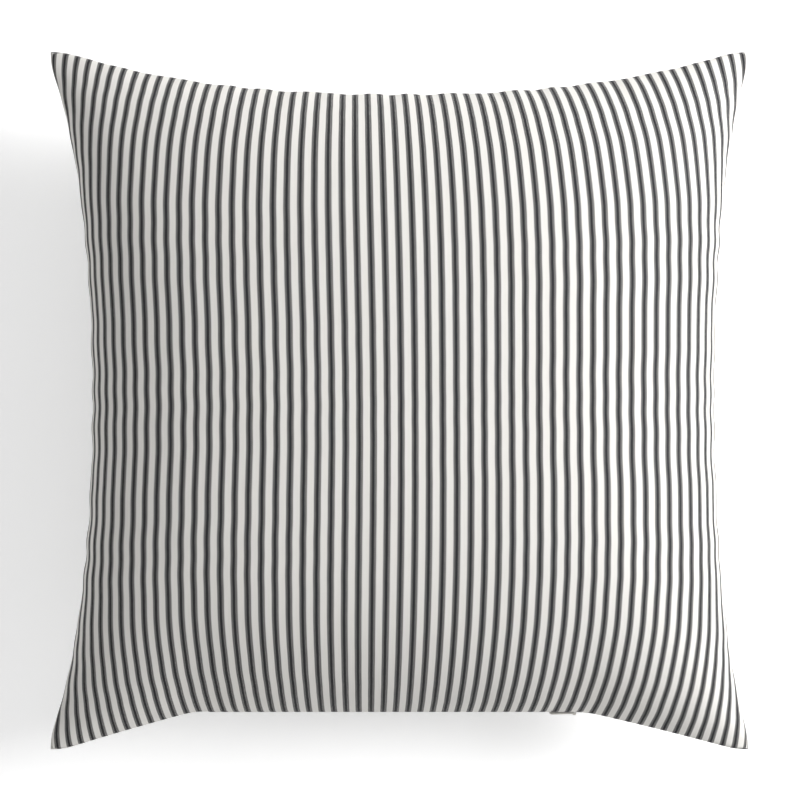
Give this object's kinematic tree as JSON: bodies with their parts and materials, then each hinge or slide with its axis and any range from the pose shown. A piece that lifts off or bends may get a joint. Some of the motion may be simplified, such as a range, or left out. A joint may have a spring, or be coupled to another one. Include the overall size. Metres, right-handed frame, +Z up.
{
  "type": "throw pillow",
  "caption": "Square knife-edge throw pillow: a ticking-stripe cover with a concealed zip in one seam, over a filled insert, lying on its back.",
  "frame": {"origin": "middle of the flat patch that the pillow lies on, under the centre of its outline", "axes": "+Z up through the front panel; -Y towards the zipped lower seam; the stripes run along Y"},
  "size_m": [0.506, 0.506, 0.153],
  "materials": {
    "ticking": "cream cotton twill with a charcoal ticking stripe, matt",
    "cover_thread": "spun polyester thread",
    "zip_tape": "woven polyester tape",
    "zip_coil": "nylon coil",
    "zip_metal": "enamelled zinc, cream",
    "insert_cotton": "plain-weave cotton, undyed",
    "insert_thread": "cotton thread",
    "fibre_fill": "loose polyester fibre",
    "label": "blank satin label tape"
  },
  "bodies": {
    "pillow": {"cover_front_panel": "ticking", "cover_back_panel": "ticking", "seam_thread_top": "cover_thread", "seam_thread_left": "cover_thread", "seam_thread_right": "cover_thread", "seam_thread_bottom_left": "cover_thread", "seam_thread_bottom_right": "cover_thread", "overlock_thread_top": "cover_thread", "overlock_thread_left": "cover_thread", "overlock_thread_right": "cover_thread", "overlock_thread_bottom_left": "cover_thread", "overlock_thread_bottom_right": "cover_thread", "zip_tape_front": "zip_tape", "zip_tape_back": "zip_tape", "zip_tape_thread_front": "cover_thread", "zip_tape_thread_back": "cover_thread", "zip_coil_front": "zip_coil", "zip_coil_back": "zip_coil", "zip_top_stop_front": "zip_metal", "zip_top_stop_back": "zip_metal", "zip_bottom_stop": "zip_metal", "insert_front_panel": "insert_cotton", "insert_back_panel": "insert_cotton", "insert_seam_thread": "insert_thread", "insert_closing_thread": "insert_thread", "insert_fill": "fibre_fill", "care_label": "label", "insert_label": "label"},
    "slider": {"zip_slider": "zip_metal"},
    "pull": {"zip_pull": "zip_metal"}
  },
  "joints": [
    {"name": "zip_slide", "type": "slide", "parent": "pillow", "child": "slider", "axis": [-1, 0, 0], "range_m": [0, 0.255]},
    {"name": "pull_swing", "type": "hinge", "parent": "slider", "child": "pull", "pos_m": [0.1269, -0.2267, 0.073], "axis": [0, 0, 1], "range_deg": [0, 165]}
  ]
}
